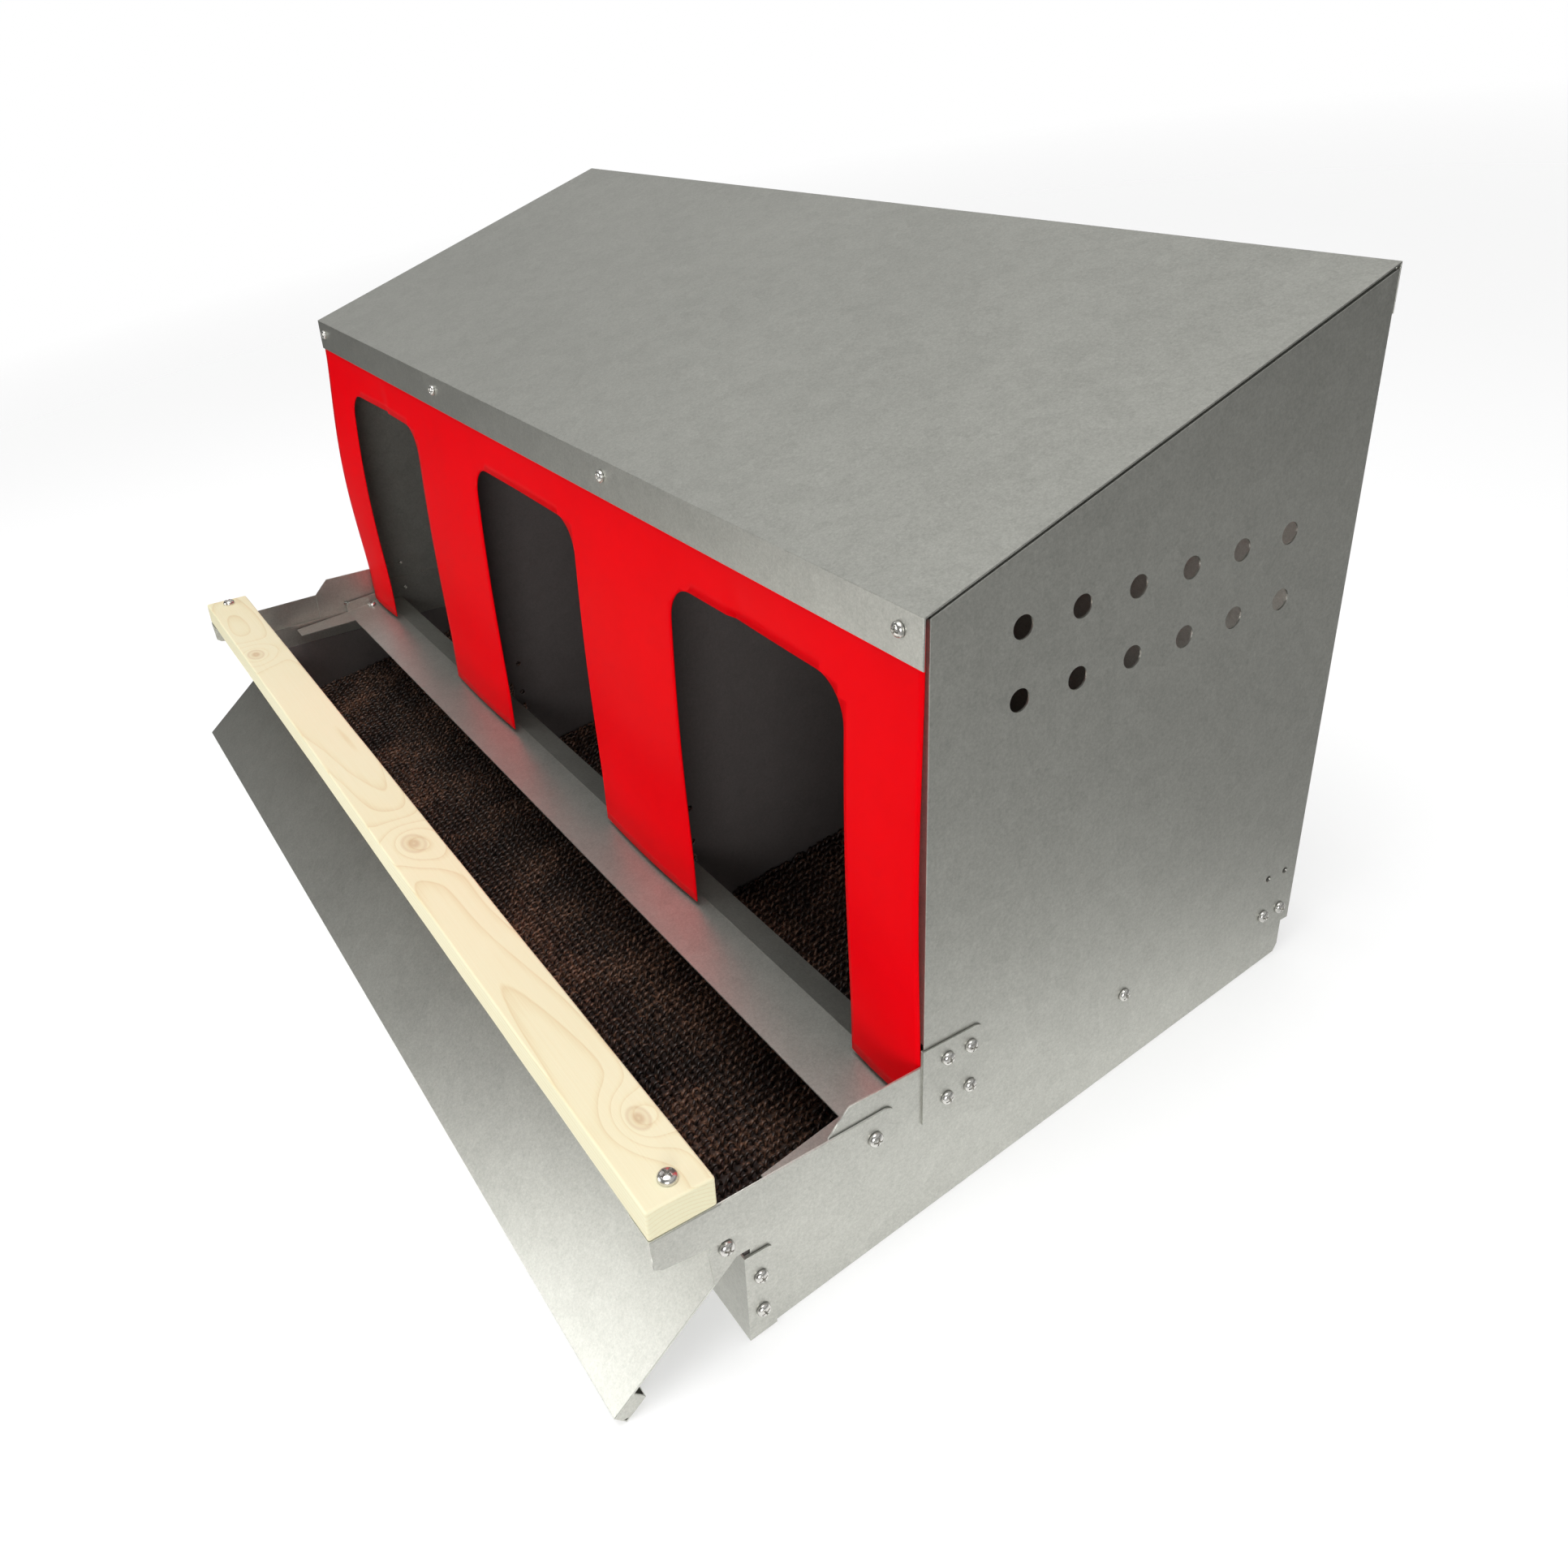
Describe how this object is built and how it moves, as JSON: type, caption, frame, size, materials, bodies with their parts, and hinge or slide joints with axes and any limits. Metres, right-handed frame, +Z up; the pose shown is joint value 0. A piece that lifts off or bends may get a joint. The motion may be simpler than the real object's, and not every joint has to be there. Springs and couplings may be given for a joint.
{
  "type": "roll-away nesting box",
  "caption": "Roll-away nesting box in sheet steel with a sloped roof, arched doorways in a red curtain, a folding timber perch and an egg tray with a hinged lid.",
  "frame": {"origin": "centre of the bounding box's bottom face, on the surface the box stands on with its tray lid open", "axes": "+X to the box's right when seen from behind it (its width), +Y towards its back, +Z up. The box stands on its flat sloped base, so its walls lean back by the base's slope"},
  "size_m": [0.9232, 0.5692, 0.4274],
  "materials": {
    "galvanised_steel": "galvanised, satin",
    "dark_steel": "dark, satin",
    "red_curtain": "glossy flexible sheet",
    "pine": "bare planed softwood",
    "turf_mat": "looped plastic mat",
    "zinc_screw": "bright zinc"
  },
  "bodies": {
    "box": {"roof": "galvanised_steel", "back_panel": "galvanised_steel", "base_front": "galvanised_steel", "sill": "galvanised_steel", "side_panel_left": "galvanised_steel", "base_side_left": "galvanised_steel", "perch_bracket_left": "galvanised_steel", "side_panel_right": "galvanised_steel", "base_side_right": "galvanised_steel", "perch_bracket_right": "galvanised_steel", "floor_pan": "dark_steel", "partition_left": "dark_steel", "partition_right": "dark_steel", "curtain": "red_curtain", "tray_mat": "turf_mat", "nest_mat_left": "turf_mat", "nest_mat_centre": "turf_mat", "nest_mat_right": "turf_mat", "lip_screw_1": "zinc_screw", "lip_screw_2": "zinc_screw", "lip_screw_3": "zinc_screw", "lip_screw_4": "zinc_screw", "bracket_screw_left_1": "zinc_screw", "bracket_screw_left_2": "zinc_screw", "bracket_screw_left_3": "zinc_screw", "bracket_screw_left_4": "zinc_screw", "rear_screw_left_1": "zinc_screw", "rear_screw_left_2": "zinc_screw", "flange_screw_left_1": "zinc_screw", "flange_screw_left_2": "zinc_screw", "side_screw_left": "zinc_screw", "perch_pivot_left": "zinc_screw", "lid_pivot_left": "zinc_screw", "sill_screw_left": "zinc_screw", "bracket_screw_right_1": "zinc_screw", "bracket_screw_right_2": "zinc_screw", "bracket_screw_right_3": "zinc_screw", "bracket_screw_right_4": "zinc_screw", "rear_screw_right_1": "zinc_screw", "rear_screw_right_2": "zinc_screw", "flange_screw_right_1": "zinc_screw", "flange_screw_right_2": "zinc_screw", "side_screw_right": "zinc_screw", "perch_pivot_right": "zinc_screw", "lid_pivot_right": "zinc_screw", "sill_screw_right": "zinc_screw"},
    "lid": {"egg_lid": "galvanised_steel"},
    "perch": {"perch_board": "pine", "perch_arm_left": "galvanised_steel", "perch_arm_right": "galvanised_steel", "perch_screw_left": "zinc_screw", "perch_screw_right": "zinc_screw"}
  },
  "joints": [
    {"name": "lid_swing", "type": "hinge", "parent": "box", "child": "lid", "pos_m": [0, -0.20336, 0.07729], "axis": [-1, 0, 0], "range_deg": [0, 221.2]},
    {"name": "perch_fold", "type": "hinge", "parent": "box", "child": "perch", "pos_m": [0, -0.10985, 0.08389], "axis": [-1, 0, 0], "range_deg": [0, 78.1]}
  ],
  "couplings": [
    {"joint": "perch_fold", "follows": "lid_swing", "ratio": 0.35262}
  ]
}
